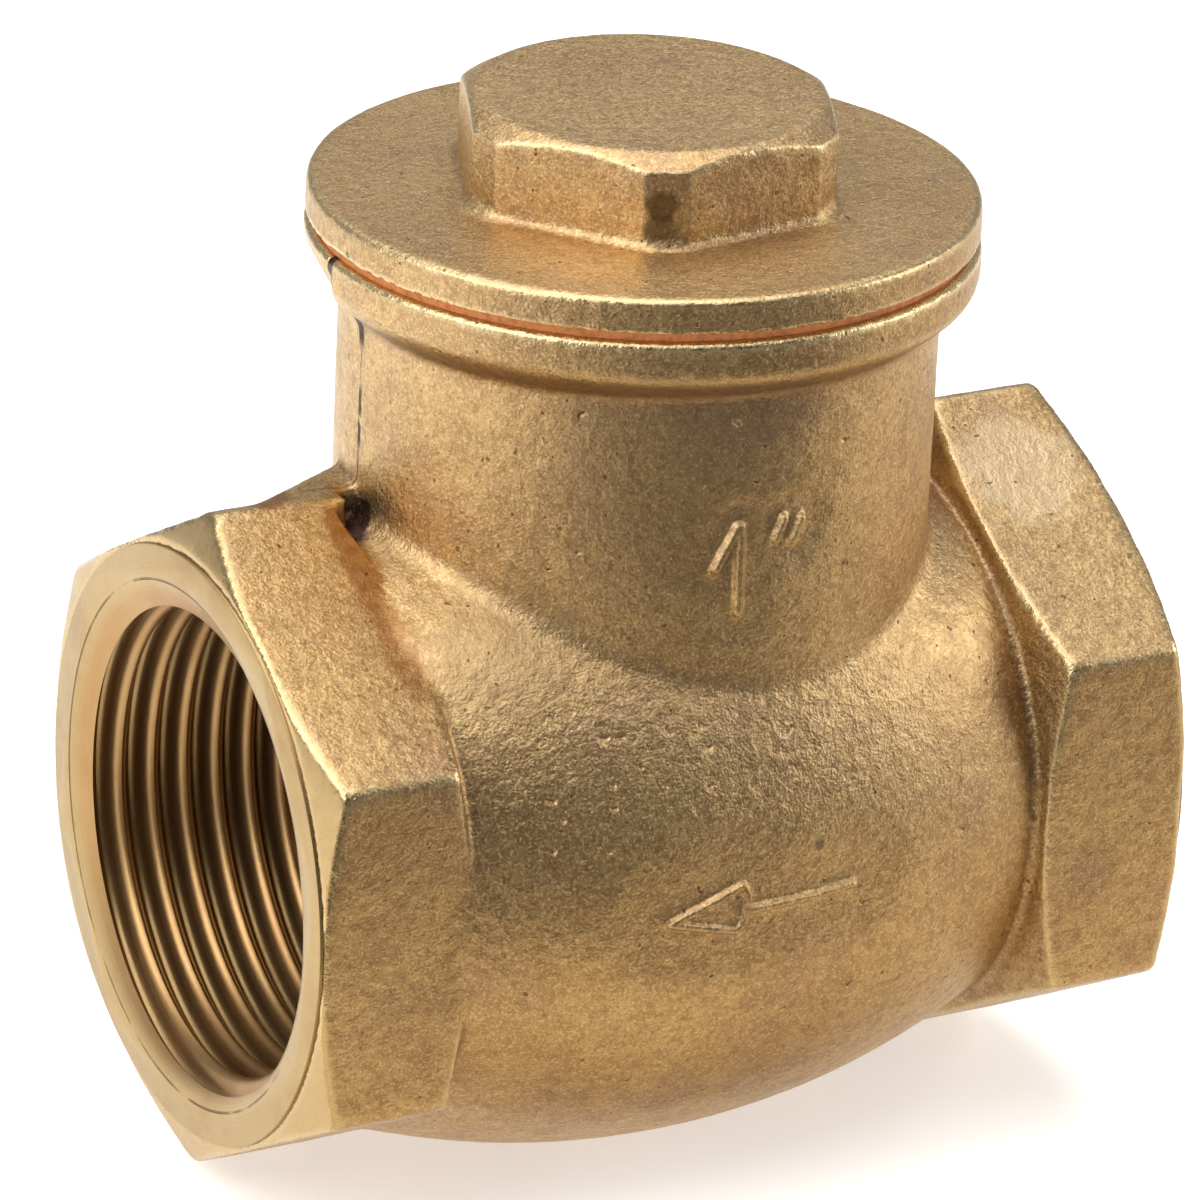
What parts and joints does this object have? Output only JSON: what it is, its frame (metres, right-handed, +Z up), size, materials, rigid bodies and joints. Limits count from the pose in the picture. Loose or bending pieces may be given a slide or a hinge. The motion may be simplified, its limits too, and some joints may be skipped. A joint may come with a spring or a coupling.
{
  "type": "swing check valve",
  "caption": "Brass swing check valve with a barrel-shaped body, hexagonal threaded ends and a hexagon-headed screw cap over a hinged clapper.",
  "frame": {"origin": "centre of the inlet mouth, on the flow axis", "axes": "+X out of the inlet mouth along the flow axis, so the water runs towards -X; +Z up the cap's neck"},
  "size_m": [0.062, 0.0466, 0.0697],
  "materials": {
    "cast_brass": "sand cast, tumbled, with fine grain and machined ends",
    "turned_brass": "turned",
    "stainless": "ground",
    "nitrile_rubber": "moulded",
    "red_fibre": "pressed fibre sheet"
  },
  "bodies": {
    "valve": {"valve_body": "cast_brass", "hinge_pin": "stainless"},
    "clapper": {"clapper_arm": "cast_brass"},
    "disc": {"valve_disc": "turned_brass", "disc_seal": "nitrile_rubber", "seal_plate": "turned_brass", "seal_screw": "stainless", "disc_washer": "turned_brass", "disc_nut": "turned_brass"},
    "gasket": {"cap_gasket": "red_fibre"},
    "cap": {"cap": "cast_brass"}
  },
  "joints": [
    {"name": "clapper_swing", "type": "hinge", "parent": "valve", "child": "clapper", "pos_m": [-0.021, 0, 0.0188], "axis": [0, 1, 0], "range_deg": [0, 57]},
    {"name": "disc_spin", "type": "hinge", "parent": "clapper", "child": "disc", "pos_m": [-0.029, 0, 0], "axis": [1, 0, 0], "continuous": true},
    {"name": "cap_rise", "type": "slide", "parent": "valve", "child": "gasket", "axis": [0, 0, 1], "range_m": [0, 0.00787]},
    {"name": "cap_turn", "type": "hinge", "parent": "gasket", "child": "cap", "pos_m": [-0.031, 0, 0.0383], "axis": [0, 0, 1], "range_deg": [0, 1890]}
  ],
  "couplings": [
    {"joint": "cap_turn", "follows": "cap_rise", "rad_per_m": 4188.8}
  ]
}
